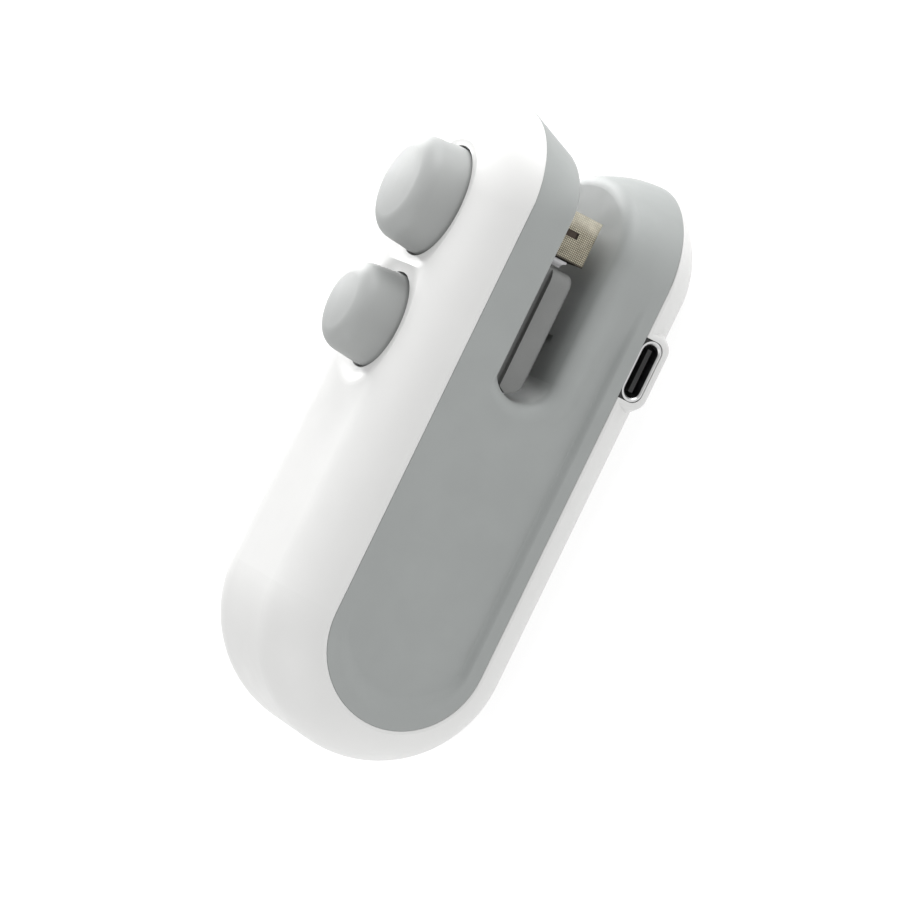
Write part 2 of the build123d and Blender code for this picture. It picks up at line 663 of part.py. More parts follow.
with BuildPart() as usb_socket_shell:
    with BuildSketch(PORT_FRAME):
        SlotOverall(PORT_WIDTH, PORT_HEIGHT)
    extrude(amount=-PORT_DEPTH)
    with BuildSketch(PORT_FRAME):
        SlotOverall(PORT_WIDTH - 2 * PORT_SHEET, PORT_HEIGHT - 2 * PORT_SHEET)
    extrude(amount=PORT_SHEET - PORT_DEPTH, mode=Mode.SUBTRACT)
    with BuildSketch(PORT_FRAME):
        SlotOverall(PORT_LIP_WIDTH, PORT_LIP_HEIGHT)
        SlotOverall(PORT_WIDTH - 2 * PORT_SHEET, PORT_HEIGHT - 2 * PORT_SHEET, mode=Mode.SUBTRACT)
    extrude(amount=-PORT_LIP_THICK)
    mouth = usb_socket_shell.faces().sort_by(Axis.Y)[0]
    chamfer(mouth.inner_wires()[0].edges(), PORT_LIP_BEVEL)
save(usb_socket_shell, "usb_socket_shell")

with BuildPart() as usb_tongue:
    with BuildSketch(PORT_FRAME.offset(PORT_SHEET - PORT_DEPTH)):
        SlotOverall(PORT_WIDTH - 2 * PORT_SHEET, PORT_HEIGHT - 2 * PORT_SHEET)
    extrude(amount=TONGUE_BASE)
    with BuildSketch(PORT_FRAME.offset(PORT_SHEET - PORT_DEPTH)):
        Rectangle(TONGUE_WIDTH, TONGUE_THICK)
    extrude(amount=PORT_DEPTH - PORT_SHEET - TONGUE_SETBACK)
save(usb_tongue, "usb_tongue")

with BuildPart() as port_bezel:
    with BuildSketch(SIDE_VIEW.offset(SIDE - BEZEL_SETBACK)):
        with Locations((PORT_X, -RECESS_LOW + BEZEL_GAP)):
            size = (2 * (RECESS_HALF - BEZEL_GAP), RECESS_LOW)
            RectangleRounded(*size, RECESS_ROUND, align=(Align.CENTER, Align.MIN))
        with Locations((PORT_X, -PANEL_HALF - BEZEL_GAP)):
            Rectangle(LENGTH, LENGTH, align=(Align.CENTER, Align.MIN), mode=Mode.SUBTRACT)
        add(port_outline(BEZEL_GAP), mode=Mode.SUBTRACT)
    extrude(amount=BEZEL_SETBACK - RECESS_DEEP)
save(port_bezel, "port_bezel")

# ---------------------------------------------------------------- battery, board and fasteners

with BuildPart() as battery_cell:
    with BuildSketch(END_VIEW.offset(CELL_START)):
        Circle(CELL_R)
    extrude(amount=CELL_LENGTH - CELL_NUB)
    fillet(battery_cell.edges().filter_by(GeomType.CIRCLE), CELL_EDGE_R)
    with BuildSketch(END_VIEW.offset(CELL_START + CELL_LENGTH - 2 * CELL_NUB)):
        Circle(CELL_NUB_R)
    extrude(amount=2 * CELL_NUB)
save(battery_cell, "battery_cell")

CELL_END = CELL_START + CELL_LENGTH
with BuildPart() as battery_tabs:
    for x in (CELL_START - TAB_THICK, CELL_END):
        with Locations((x, 0, MID - TAB_DROP)):
            Box(TAB_THICK, TAB_WIDTH, TAB_DROP + CELL_NUB_R, align=FROM_START)
save(battery_tabs, "battery_tabs")

with BuildPart() as main_board:
    with BuildSketch(level(BOARD_TOP - BOARD_THICK)):
        with Locations((BOARD_START + BOARD_LENGTH / 2, 0)):
            RectangleRounded(BOARD_LENGTH, 2 * BOARD_HALF, BOARD_ROUND)
        with Locations((PORT_X, 0)):
            Rectangle(PORT_WIDTH - 2 * SOCKET_GAP, TONGUE_REACH, align=(Align.CENTER, Align.MAX))
    extrude(amount=BOARD_THICK)
save(main_board, "main_board")

BOARD_PARTS = {
    "charge_controller": ((4.0, 4.0, 0.9), ((11.0, 4.0),)),
    "heater_driver": ((6.5, 5.2, 1.6), ((0.0, -3.5),)),
    "inductor": ((5.0, 5.0, 2.4), ((-6.0, 4.5),)),
    "capacitors": ((1.25, 2.0, 1.2), ((24.0, 5.0), (21.0, 5.0), (18.0, 5.0), (-16.0, 5.0))),
}
for name, (size, places) in BOARD_PARTS.items():
    with BuildPart() as chips:
        for x, y in places:
            with Locations((x, y, MID + BOARD_TOP)):
                Box(*size, align=UP)
        chamfer(chips.faces().filter_by(Axis.Z).group_by(Axis.Z)[-1].edges(), CHIP_CHAMFER)
    save(chips, name)

with BuildPart() as battery_leads:
    for x in (FRONT_LEAD_X, REAR_LEAD_X):
        with Locations((x, 0, MID + BOARD_TOP)):
            Cylinder(LEAD_R, -TAB_DROP - BOARD_TOP, align=UP)
save(battery_leads, "battery_leads")

with BuildPart() as core_screws:
    for x, side in EARS:
        with Locations(Location((x, EAR_REACH, MID + side * EAR_SCREW), (90, 0, 0))):
            Cylinder(SCREW_HEAD_R, SCREW_HEAD, align=UP)
            Cylinder(SCREW_R, SCREW_LENGTH, align=UP)
            Box(SCREW_SLOT, SCREW_HEAD_R, SCREW_HEAD, mode=Mode.SUBTRACT)
            Box(SCREW_HEAD_R, SCREW_SLOT, SCREW_HEAD, mode=Mode.SUBTRACT)
save(core_screws, "core_screws")
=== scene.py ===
"""The pocket bag sealer's looks: sculpted core, woven cloth, springs, materials, studio and camera."""

import json
from math import cos, hypot, pi, radians, sin

import bmesh
import bpy
from mathutils import Matrix, Vector
from mathutils.geometry import delaunay_2d_cdt
from mathutils.interpolate import poly_3d_calc
from mathutils.kdtree import KDTree


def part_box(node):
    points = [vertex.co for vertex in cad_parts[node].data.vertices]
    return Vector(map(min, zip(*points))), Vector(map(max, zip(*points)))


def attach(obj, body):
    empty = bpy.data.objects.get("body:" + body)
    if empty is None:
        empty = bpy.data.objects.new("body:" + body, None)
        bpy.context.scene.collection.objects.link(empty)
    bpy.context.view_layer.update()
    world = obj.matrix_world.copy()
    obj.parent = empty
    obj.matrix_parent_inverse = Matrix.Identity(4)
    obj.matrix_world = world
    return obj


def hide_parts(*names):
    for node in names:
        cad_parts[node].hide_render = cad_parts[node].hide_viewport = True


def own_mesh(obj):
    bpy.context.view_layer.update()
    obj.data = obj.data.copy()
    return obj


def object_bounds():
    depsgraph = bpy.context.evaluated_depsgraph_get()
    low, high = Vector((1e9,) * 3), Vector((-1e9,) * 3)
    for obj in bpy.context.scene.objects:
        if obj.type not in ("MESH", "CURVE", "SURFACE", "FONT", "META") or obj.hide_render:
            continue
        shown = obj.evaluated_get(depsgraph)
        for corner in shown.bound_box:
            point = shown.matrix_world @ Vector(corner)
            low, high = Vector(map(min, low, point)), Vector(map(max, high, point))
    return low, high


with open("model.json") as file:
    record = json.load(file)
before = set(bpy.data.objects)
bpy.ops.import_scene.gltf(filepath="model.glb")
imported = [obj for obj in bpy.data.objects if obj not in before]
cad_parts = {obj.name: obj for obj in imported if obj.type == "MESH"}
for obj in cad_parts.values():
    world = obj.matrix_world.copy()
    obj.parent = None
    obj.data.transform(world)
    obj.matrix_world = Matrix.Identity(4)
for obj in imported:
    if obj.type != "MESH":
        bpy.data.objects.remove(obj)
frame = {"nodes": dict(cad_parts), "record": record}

cad_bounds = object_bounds()
MM = 0.001
CRISP = 50  # edges steeper than this, in degrees, stay crisp

# ---------------------------------------------------------------- places read from the frame

shell_low, shell_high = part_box("outer_shell")
MID = shell_high[2] / 2  # height of the middle plane
BUTT_X = shell_low[0] + MID  # axis of the round butt
SIDE = shell_high[1]  # flat side faces, from the middle plane
cloth_low, cloth_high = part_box("ptfe_cloth")
wire_low, wire_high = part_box("heating_wire")

# ---------------------------------------------------------------- meshes


def add_object(name, mesh, body, node):
    """A mesh as an object that rides a body and stands for a CAD node."""
    piece = bpy.data.objects.new(name, mesh)
    bpy.context.scene.collection.objects.link(piece)
    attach(piece, body)
    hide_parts(node)
    return piece


def finish_mesh(bm, name):
    """A bmesh as a smooth-shaded mesh with crisp edges."""
    bmesh.ops.recalc_face_normals(bm, faces=bm.faces)
    mesh = bpy.data.meshes.new(name)
    bm.to_mesh(mesh)
    bm.free()
    mesh.shade_smooth()
    mesh.set_sharp_from_angle(angle=radians(CRISP))
    return mesh


def smooth(t):
    """Smoothstep, held at its ends."""
    t = min(max(t, 0.0), 1.0)
    return t * t * (3 - 2 * t)


# ---------------------------------------------------------------- sculpted side panels

RIM_HALF = 10.6 * MM  # rim of the thumb dish
DISH_R = 125 * MM  # crown of the dish floor, across
DISH_TOP = 6 * MM
DISH_BACK_R = 118 * MM  # crown of the dish floor, along
DISH_BACK = 4 * MM  # from the butt axis
RIM_SHARP = 1.0 * MM  # width of the dish's wall along the lower rim
RIM_SOFT = 4.2 * MM  # and round the butt
FADE_START = 48 * MM  # the dish runs out towards the mouth, from the butt axis
FADE_LENGTH = 14 * MM
SLOT_X = 13.45 * MM
SLOT_FLOOR = -3.2 * MM
SLOT_ROOF = 5.9 * MM
SLOT_R = 4.6 * MM
LIP = 2.2 * MM
SLOT_BLEND = 2.4 * MM
PATCH_DEPTH = 1.3 * MM  # the side face and its dish lie within this of the side plane
PATCH_END = 33.0 * MM
GRID = 0.3 * MM
SLOPE_STEP = 0.05 * MM
FLAT = 1e-6
WELD = 1e-7
ON_EDGE = 1e-5
CLEAR_STEPS = 0.6  # grid points keep this many steps away from the border
MESH_EPSILON = 1e-5
FILL_INSIDE = 1  # the triangulation's setting for filling inside the border


def slot_distance(x, k):
    """How far a side-view point lies outside the mouth slot."""
    if x > SLOT_X:
        return max(SLOT_FLOOR - k, k - SLOT_ROOF)
    return hypot(x - SLOT_X, k - (SLOT_FLOOR + SLOT_R)) - SLOT_R


def rim_distance(x, k):
    """How far a side-view point lies inside the rim of the dish."""
    return RIM_HALF - hypot(min(x - BUTT_X, 0.0), k)


def dish_depth(x, k):
    """Depth of the thumb dish below the side face at a side-view point."""
    along = x - BUTT_X
    across = max(DISH_TOP - k, 0.0) ** 2 / (2 * DISH_R)
    behind = max(DISH_BACK - along, 0.0) ** 2 / (2 * DISH_BACK_R)
    wall = RIM_SHARP + (RIM_SOFT - RIM_SHARP) * smooth(-along / RIM_HALF)
    inside = smooth(rim_distance(x, k) / wall)
    fade = 1 - smooth((along - FADE_START) / FADE_LENGTH)
    near_slot = smooth((slot_distance(x, k) - LIP) / SLOT_BLEND)
    return hypot(across, behind) * inside * fade * near_slot


def dish_normal(x, k, side):
    """The sculpted side face's own normal at a side-view point."""
    along = dish_depth(x + SLOPE_STEP, k) - dish_depth(x - SLOPE_STEP, k)
    up = dish_depth(x, k + SLOPE_STEP) - dish_depth(x, k - SLOPE_STEP)
    return Vector((along, 2 * SLOPE_STEP * side, up)).normalized()


def corner_normals(mesh, sources, plain, side):
    """Each corner's normal: the CAD surface's own on its faces, the dish's own on the new ones."""
    normals = []
    for face in mesh.polygons:
        source = sources[face.index]
        for index in face.loop_indices:
            place = mesh.vertices[mesh.loops[index].vertex_index].co
            if source < 0:
                normals.append(dish_normal(place.x, place.z - MID, side))
                continue
            corners = plain.polygons[source].loop_indices
            spots = [plain.vertices[plain.loops[i].vertex_index].co for i in corners]
            weights = poly_3d_calc(spots, place)
            blend = Vector()
            for i, weight in zip(corners, weights):
                blend += plain.corner_normals[i].vector * weight
            normals.append(blend.normalized())
    return normals


def border_loop(bm):
    """The open border's vertices, in order, once its long edges are cut to the grid's step."""
    for edge in [e for e in bm.edges if e.is_boundary]:
        cuts = int(edge.calc_length() / GRID)
        if cuts:
            bmesh.ops.subdivide_edges(bm, edges=[edge], cuts=cuts)
    links = {}
    for edge in bm.edges:
        if edge.is_boundary:
            for here, there in (edge.verts, reversed(edge.verts)):
                links.setdefault(here, []).append(there)
    loop = [next(iter(links))]
    while True:
        onward = [v for v in links[loop[-1]] if len(loop) < 2 or v is not loop[-2]]
        if onward[0] is loop[0]:
            return loop
        loop.append(onward[0])


def sculpt_core(name, side):
    """A copy of a core half whose flat side face and plain dish become one smoothly sculpted surface."""
    bm = bmesh.new()
    plain = frame["nodes"][name].data
    bm.from_mesh(plain)
    origin = bm.faces.layers.int.new("origin")
    for i, face in enumerate(bm.faces):
        face[origin] = i
    bmesh.ops.remove_doubles(bm, verts=bm.verts, dist=WELD)
    doomed = []
    for face in bm.faces:
        centre = face.calc_center_median()
        depth = SIDE - side * centre.y
        k = centre.z - MID
        dished = depth < PATCH_DEPTH and slot_distance(centre.x, k) > LIP + ON_EDGE
        dished = dished and rim_distance(centre.x, k) > -ON_EDGE
        if centre.x < PATCH_END and (depth < FLAT or dished):
            doomed.append(face)
    bmesh.ops.delete(bm, geom=doomed, context="FACES")
    loop = border_loop(bm)
    points = [Vector((v.co.x, v.co.z)) / MM for v in loop]
    near = KDTree(len(points))
    for i, point in enumerate(points):
        near.insert(point.to_3d(), i)
    near.balance()
    low_x, high_x = min(p.x for p in points), max(p.x for p in points)
    low_z, high_z = min(p.y for p in points), max(p.y for p in points)
    step = GRID / MM
    border = len(points)
    for i in range(int((high_x - low_x) / step)):
        for j in range(int((high_z - low_z) / step)):
            point = Vector((low_x + (i + 0.5) * step, low_z + (j + 0.5) * step))
            if near.find(point.to_3d())[2] > CLEAR_STEPS * step:
                points.append(point)
    outline = [list(range(border))]
    made, _, faces, inputs, _, _ = delaunay_2d_cdt(points, [], outline, FILL_INSIDE, MESH_EPSILON)
    verts = []
    for point, given in zip(made, inputs):
        first = given[0] if given else border
        if first < border:
            verts.append(loop[first])
        else:
            x, z = point.x * MM, point.y * MM
            verts.append(bm.verts.new((x, side * (SIDE - dish_depth(x, z - MID)), z)))
    for face in faces:
        corners = [verts[i] for i in face]
        if len(set(corners)) > 2:
            bm.faces.new(corners)[origin] = -1
    loose = [v for v in bm.verts if not v.link_faces]
    bmesh.ops.delete(bm, geom=loose, context="VERTS")
    bmesh.ops.triangulate(bm, faces=[f for f in bm.faces if len(f.verts) > 3])
    bmesh.ops.recalc_face_normals(bm, faces=bm.faces)
    mesh = bpy.data.meshes.new(name)
    bm.to_mesh(mesh)
    bm.free()
    layer = mesh.attributes["origin"]
    sources = [value.value for value in layer.data]
    mesh.attributes.remove(layer)
    mesh.normals_split_custom_set(corner_normals(mesh, sources, plain, side))
    return add_object("sculpted_" + name, mesh, "housing", name)


cores = [sculpt_core("core_half_near", -1), sculpt_core("core_half_far", 1)]

# ---------------------------------------------------------------- return springs

COIL_R = 4.0 * MM
COIL_WIRE = 0.3 * MM
COIL_TURNS = 6
COIL_STEPS = 40  # each turn
COIL_SIDES = 10


def coil(name, body):
    """A return spring as a round-wire helix in its part's place, riding the given body."""
    low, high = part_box(name)
    middle = (low + high) / 2
    rise = high[2] - low[2] - 2 * COIL_WIRE
    bm = bmesh.new()
    rings = []
    for i in range(COIL_TURNS * COIL_STEPS + 1):
        turn = i / COIL_STEPS
        out = Vector((cos(2 * pi * turn), sin(2 * pi * turn), 0))
        foot = Vector((middle[0], middle[1], low[2] + COIL_WIRE + rise * turn / COIL_TURNS))
        ring = []
        for j in range(COIL_SIDES):
            a = 2 * pi * j / COIL_SIDES
            offset = out * (COIL_R + COIL_WIRE * cos(a)) + Vector((0, 0, COIL_WIRE * sin(a)))
            ring.append(bm.verts.new(foot + offset))
        rings.append(ring)
    for here, there in zip(rings, rings[1:]):
        for j in range(COIL_SIDES):
            k = (j + 1) % COIL_SIDES
            bm.faces.new((here[j], here[k], there[k], there[j]))
    bm.faces.new(rings[0])
    bm.faces.new(rings[-1])
    piece = add_object("coil_" + name, finish_mesh(bm, name), body, name)
    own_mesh(piece)
    return piece


springs = [
    coil("seal_spring", "housing"),
    coil("cut_spring", "housing"),
]

# ---------------------------------------------------------------- woven PTFE cloth

CLOTH_THICK = 0.25 * MM
CLOTH_BEND = 0.7 * MM
CLOTH_STEP = 0.2 * MM
CLOTH_SWELL = 0.12 * MM  # how far its edges are drawn in
SWELL_POWER = 0.6
RIPPLE = 0.03 * MM  # faint waves up the two ends
RIPPLE_RATE = 900.0  # radians per metre along the strip
RIPPLE_SKEW = 5.0
FLAT_FOOT = 0.02  # share of the height below which the cloth lies flat
BEND_STEPS = 6
NOTCH_LOW = MID + 2.3 * MM


def cloth_path():
    """The cloth's outer line in the end view: up one end of the heater, under it and up the other."""
    half, top, foot = cloth_high[1], cloth_high[2], cloth_low[2]
    path = []
    rise = top - foot - CLOTH_BEND
    count = int(rise / CLOTH_STEP)
    for i in range(count):
        path.append((Vector((-half, top - rise * i / count)), Vector((-1, 0))))
    for i in range(BEND_STEPS + 1):
        a = pi + pi / 2 * i / BEND_STEPS
        out = Vector((cos(a), sin(a)))
        path.append((Vector((-half + CLOTH_BEND, foot + CLOTH_BEND)) + out * CLOTH_BEND, out))
    span = half - CLOTH_BEND
    count = int(span / CLOTH_STEP)
    for i in range(1, count + 1):
        path.append((Vector((-span + span * i / count, foot)), Vector((0, -1))))
    mirrored = [(Vector((-p.x, p.y)), Vector((-n.x, n.y))) for p, n in reversed(path[:-1])]
    return path + mirrored


def weave_cloth():
    """The PTFE cloth as a strip with thickness, notched for the wire and laid out flat in its UVs."""
    path = cloth_path()
    width = cloth_high[0] - cloth_low[0]
    count = round(width / CLOTH_STEP)
    columns = [cloth_low[0] + width * i / count for i in range(count + 1)]
    snap = {}
    for x in columns:
        for edge in (wire_low[0], wire_high[0]):
            if abs(x - edge) < CLOTH_STEP / 2:
                snap[x] = edge
    columns = [snap.get(x, x) for x in columns]
    lengths = [0.0]
    for (a, _), (b, _) in zip(path, path[1:]):
        lengths.append(lengths[-1] + (b - a).length)
    bm = bmesh.new()
    uv = bm.loops.layers.uv.new("weave")
    skins = []
    for inset in (0.0, CLOTH_THICK):
        skin = []
        for (point, out), s in zip(path, lengths):
            row = []
            for x in columns:
                t = (x - cloth_low[0]) / width
                climb = (point.y - cloth_low[2]) / (cloth_high[2] - cloth_low[2])
                swell = CLOTH_SWELL * (1 - sin(pi * t) ** SWELL_POWER)
                swell += RIPPLE * (1 + sin(RIPPLE_RATE * s + RIPPLE_SKEW * t)) * climb
                place = point - out * (inset + (swell if climb > FLAT_FOOT else 0.0))
                vert = bm.verts.new((x, place.x, place.y))
                row.append(vert)
            skin.append(row)
        skins.append(skin)
    outer, inner = skins
    open_cell = {}
    for i in range(len(path) - 1):
        for j in range(len(columns) - 1):
            middle = (columns[j] + columns[j + 1]) / 2
            in_wire = wire_low[0] < middle < wire_high[0]
            high = (path[i][0].y + path[i + 1][0].y) / 2 > NOTCH_LOW
            open_cell[i, j] = in_wire and high
    where = {}
    for i, s in enumerate(lengths):
        for j, x in enumerate(columns):
            where[outer[i][j]] = where[inner[i][j]] = (x / MM, s / MM)

    def quad(*corners):
        face = bm.faces.new(corners)
        for loop in face.loops:
            loop[uv].uv = where[loop.vert]

    for (i, j), gone in open_cell.items():
        if gone:
            continue
        quad(outer[i][j], outer[i][j + 1], outer[i + 1][j + 1], outer[i + 1][j])
        quad(inner[i][j], inner[i + 1][j], inner[i + 1][j + 1], inner[i][j + 1])
        for di, dj, a, b in (
            (-1, 0, (i, j), (i, j + 1)),
            (1, 0, (i + 1, j + 1), (i + 1, j)),
            (0, -1, (i + 1, j), (i, j)),
            (0, 1, (i, j + 1), (i + 1, j + 1)),
        ):
            if open_cell.get((i + di, j + dj), True):
                quad(outer[a[0]][a[1]], inner[a[0]][a[1]], inner[b[0]][b[1]], outer[b[0]][b[1]])
    loose = [v for v in bm.verts if not v.link_faces]
    bmesh.ops.delete(bm, geom=loose, context="VERTS")
    return add_object("woven_cloth", finish_mesh(bm, "woven_cloth"), "seal_plunger", "ptfe_cloth")


cloth = weave_cloth()

# ---------------------------------------------------------------- silicone pad

PAD_CROWN = 0.03 * MM  # how far the pad swells above the mouth's floor
PAD_EDGE = 2.2 * MM  # width over which it swells
PAD_CORNER = 2.6 * MM  # corners of the swell
PAD_SKIRT = 0.12 * MM  # its thin edge covers the gap round it
PAD_STEP = 0.2 * MM
PAD_LIFT = 0.004 * MM
PAD_ROOT = 0.03 * MM


def pad_swell(x, y, wide, long):
    """How far the pad's top stands above its thin edge, from the pad's middle."""
    out_x, out_y = abs(x) - (wide - PAD_CORNER), abs(y) - (long - PAD_CORNER)
    outside = hypot(max(out_x, 0.0), max(out_y, 0.0)) + min(max(out_x, out_y), 0.0)
    return PAD_CROWN * smooth((PAD_CORNER - outside) / PAD_EDGE)


def swell_pad():
    """The silicone pad: a flush strip whose thin edge meets the mouth's floor with no gap."""
    low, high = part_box("silicone_pad")
    middle, half = (low + high) / 2, (high - low) / 2
    floor = MID + SLOT_FLOOR
    wide, long = half[0] + PAD_SKIRT, half[1] + PAD_SKIRT
    across, along = int(2 * wide / PAD_STEP), int(2 * long / PAD_STEP)
    bm = bmesh.new()
    layers = []
    for top in (True, False):
        layer = []
        for i in range(across + 1):
            row = []
            for j in range(along + 1):
                x, y = wide * (2 * i / across - 1), long * (2 * j / along - 1)
                z = PAD_LIFT + pad_swell(x, y, wide, long) if top else -PAD_ROOT
                row.append(bm.verts.new((middle[0] + x, middle[1] + y, floor + z)))
            layer.append(row)
        layers.append(layer)
    for layer in layers:
        for i in range(across):
            for j in range(along):
                bm.faces.new((layer[i][j], layer[i + 1][j], layer[i + 1][j + 1], layer[i][j + 1]))
    upper, lower = layers
    rim = [(i, 0) for i in range(across)] + [(across, j) for j in range(along)]
    rim += [(i, along) for i in range(across, 0, -1)] + [(0, j) for j in range(along, 0, -1)]
    for (a, b), (c, d) in zip(rim, rim[1:] + rim[:1]):
        bm.faces.new((upper[a][b], lower[a][b], lower[c][d], upper[c][d]))
    return add_object("swelled_pad", finish_mesh(bm, "swelled_pad"), "housing", "silicone_pad")


pad = swell_pad()

# ---------------------------------------------------------------- materials


def node_tree(name):
    """A new node material, its nodes and links, and its Principled shader."""
    material = bpy.data.materials.new(name)
    material.use_nodes = True
    nodes = material.node_tree.nodes
    return material, nodes, material.node_tree.links, nodes["Principled BSDF"]


def noise(nodes, links, coord, scale, detail=4.0, stretch=(1, 1, 1)):
    """A noise texture on object coordinates, its scale in cycles per metre."""
    mapping = nodes.new("ShaderNodeMapping")
    mapping.inputs["Scale"].default_value = stretch
    texture = nodes.new("ShaderNodeTexNoise")
    texture.inputs["Scale"].default_value = scale
    texture.inputs["Detail"].default_value = detail
    links.new(coord, mapping.inputs["Vector"])
    links.new(mapping.outputs["Vector"], texture.inputs["Vector"])
    return texture.outputs["Fac"]


def tinted(nodes, links, fac, dark, light, low=0.35, high=0.65):
    """A colour that runs between two tints as a texture does."""
    ramp = nodes.new("ShaderNodeValToRGB")
    ramp.color_ramp.elements[0].position = low
    ramp.color_ramp.elements[1].position = high
    ramp.color_ramp.elements[0].color = (*dark, 1)
    ramp.color_ramp.elements[1].color = (*light, 1)
    links.new(fac, ramp.inputs["Fac"])
    return ramp.outputs["Color"]


def spread(nodes, links, fac, low, high):
    """A number that runs between two values as a texture does."""
    run = nodes.new("ShaderNodeMapRange")
    run.inputs["From Min"].default_value = 0.3
    run.inputs["From Max"].default_value = 0.7
    run.inputs["To Min"].default_value = low
    run.inputs["To Max"].default_value = high
    links.new(fac, run.inputs["Value"])
    return run.outputs["Result"]


def relief(nodes, links, height, distance):
    """A bump of a depth in metres from a texture."""
    bump = nodes.new("ShaderNodeBump")
    bump.inputs["Strength"].default_value = 1.0
    bump.inputs["Distance"].default_value = distance
    links.new(height, bump.inputs["Height"])
    return bump.outputs["Normal"]


def surface(name, colour, rough, metal=0.0, mottle=0.03, grain=0.12, depth=0.004, swing=0.05,
            stretch=(1, 1, 1), patch=7.0):
    """A material of one substance: mottled colour, fine grain and uneven gloss.

    grain and patch are the sizes of the grain and the mottling, and depth is the grain's, in mm.
    """
    material, nodes, links, shader = node_tree(name)
    coord = nodes.new("ShaderNodeTexCoord").outputs["Object"]
    dark = [c * (1 - mottle) for c in colour]
    light = [min(c * (1 + mottle), 1.0) for c in colour]
    clouds = noise(nodes, links, coord, 1 / (patch * MM), stretch=stretch)
    links.new(tinted(nodes, links, clouds, dark, light), shader.inputs["Base Color"])
    fine = noise(nodes, links, coord, 1 / (grain * MM), 3.0, stretch)
    links.new(relief(nodes, links, fine, depth * MM), shader.inputs["Normal"])
    gloss = noise(nodes, links, coord, 1 / (3.1 * MM), 2.0, stretch)
    links.new(spread(nodes, links, gloss, rough - swing, rough + swing), shader.inputs["Roughness"])
    shader.inputs["Metallic"].default_value = metal
    return material


WEAVE_WAVES = 1.08  # the wave texture's scale for threads 0.29 mm apart
PALE_START = 4.2 * MM  # the threads grow paler and less contrasted towards the mouth
PALE_END = 1.0 * MM
EDGE_DARK_MM = 0.45  # width of the darker band along the butt-side edge
WEAVE_DEPTH = 0.06 * MM
CREVICE = 0.55  # share of a thread's rise over which its tint changes
# darker threads at the butt end, paler ones towards the mouth
DARKER_THREADS = ((0.16, 0.14, 0.10), (0.74, 0.70, 0.56))
PALER_THREADS = ((0.60, 0.57, 0.47), (0.84, 0.81, 0.70))
SOILING = ((0.74, 0.72, 0.68), (1.0, 0.99, 0.96))
EDGE_DARK_TINTS = ((0.10, 0.085, 0.07), (1.0, 1.0, 1.0))


def weave_material():
    """Plain-woven glass cloth with a PTFE coat: crossing waves on the strip's own layout."""
    material, nodes, links, shader = node_tree("ptfe_cloth")
    coord = nodes.new("ShaderNodeUVMap")
    coord.uv_map = "weave"
    waves = []
    for direction in ("X", "Y"):
        wave = nodes.new("ShaderNodeTexWave")
        wave.bands_direction = direction
        wave.inputs["Scale"].default_value = WEAVE_WAVES
        wave.inputs["Distortion"].default_value = 0.35
        wave.inputs["Detail Scale"].default_value = 0.8
        links.new(coord.outputs["UV"], wave.inputs["Vector"])
        waves.append(wave.outputs["Fac"])
    cross = nodes.new("ShaderNodeMath")
    cross.operation = "MULTIPLY"
    for i, wave in enumerate(waves):
        links.new(wave, cross.inputs[i])
    shade = noise(nodes, links, nodes.new("ShaderNodeTexCoord").outputs["Object"], 1 / (1.4 * MM))
    place = nodes.new("ShaderNodeSeparateXYZ")
    links.new(coord.outputs["UV"], place.inputs["Vector"])
    to_mouth = nodes.new("ShaderNodeMapRange")
    to_mouth.interpolation_type = "SMOOTHSTEP"
    to_mouth.inputs["From Min"].default_value = (cloth_low[0] + PALE_START) / MM
    to_mouth.inputs["From Max"].default_value = (cloth_high[0] - PALE_END) / MM
    links.new(place.outputs["X"], to_mouth.inputs["Value"])
    rise = cross.outputs["Value"]
    threads = tinted(nodes, links, rise, *DARKER_THREADS, 0.0, CREVICE)
    # paler, lower-contrast threads towards the mouth
    paler_threads = tinted(nodes, links, rise, *PALER_THREADS, 0.0, CREVICE)
    blend = nodes.new("ShaderNodeMixRGB")
    links.new(to_mouth.outputs["Result"], blend.inputs["Fac"])
    links.new(threads, blend.inputs["Color1"])
    links.new(paler_threads, blend.inputs["Color2"])
    clouds = tinted(nodes, links, shade, *SOILING)
    # a narrow darker band along the cloth's butt-side edge
    edge_mask = nodes.new("ShaderNodeMapRange")
    edge_mask.interpolation_type = "SMOOTHSTEP"
    edge_mask.inputs["From Min"].default_value = cloth_low[0] / MM
    edge_mask.inputs["From Max"].default_value = cloth_low[0] / MM + EDGE_DARK_MM
    links.new(place.outputs["X"], edge_mask.inputs["Value"])
    edge_dark = tinted(nodes, links, edge_mask.outputs["Result"], *EDGE_DARK_TINTS, 0.0, 1.0)
    colour = blend.outputs["Color"]
    for layer in (clouds, edge_dark):
        mix = nodes.new("ShaderNodeMixRGB")
        mix.blend_type = "MULTIPLY"
        mix.inputs["Fac"].default_value = 1.0
        links.new(colour, mix.inputs["Color1"])
        links.new(layer, mix.inputs["Color2"])
        colour = mix.outputs["Color"]
    links.new(colour, shader.inputs["Base Color"])
    links.new(relief(nodes, links, rise, WEAVE_DEPTH), shader.inputs["Normal"])
    links.new(spread(nodes, links, shade, 0.42, 0.6), shader.inputs["Roughness"])
    return material


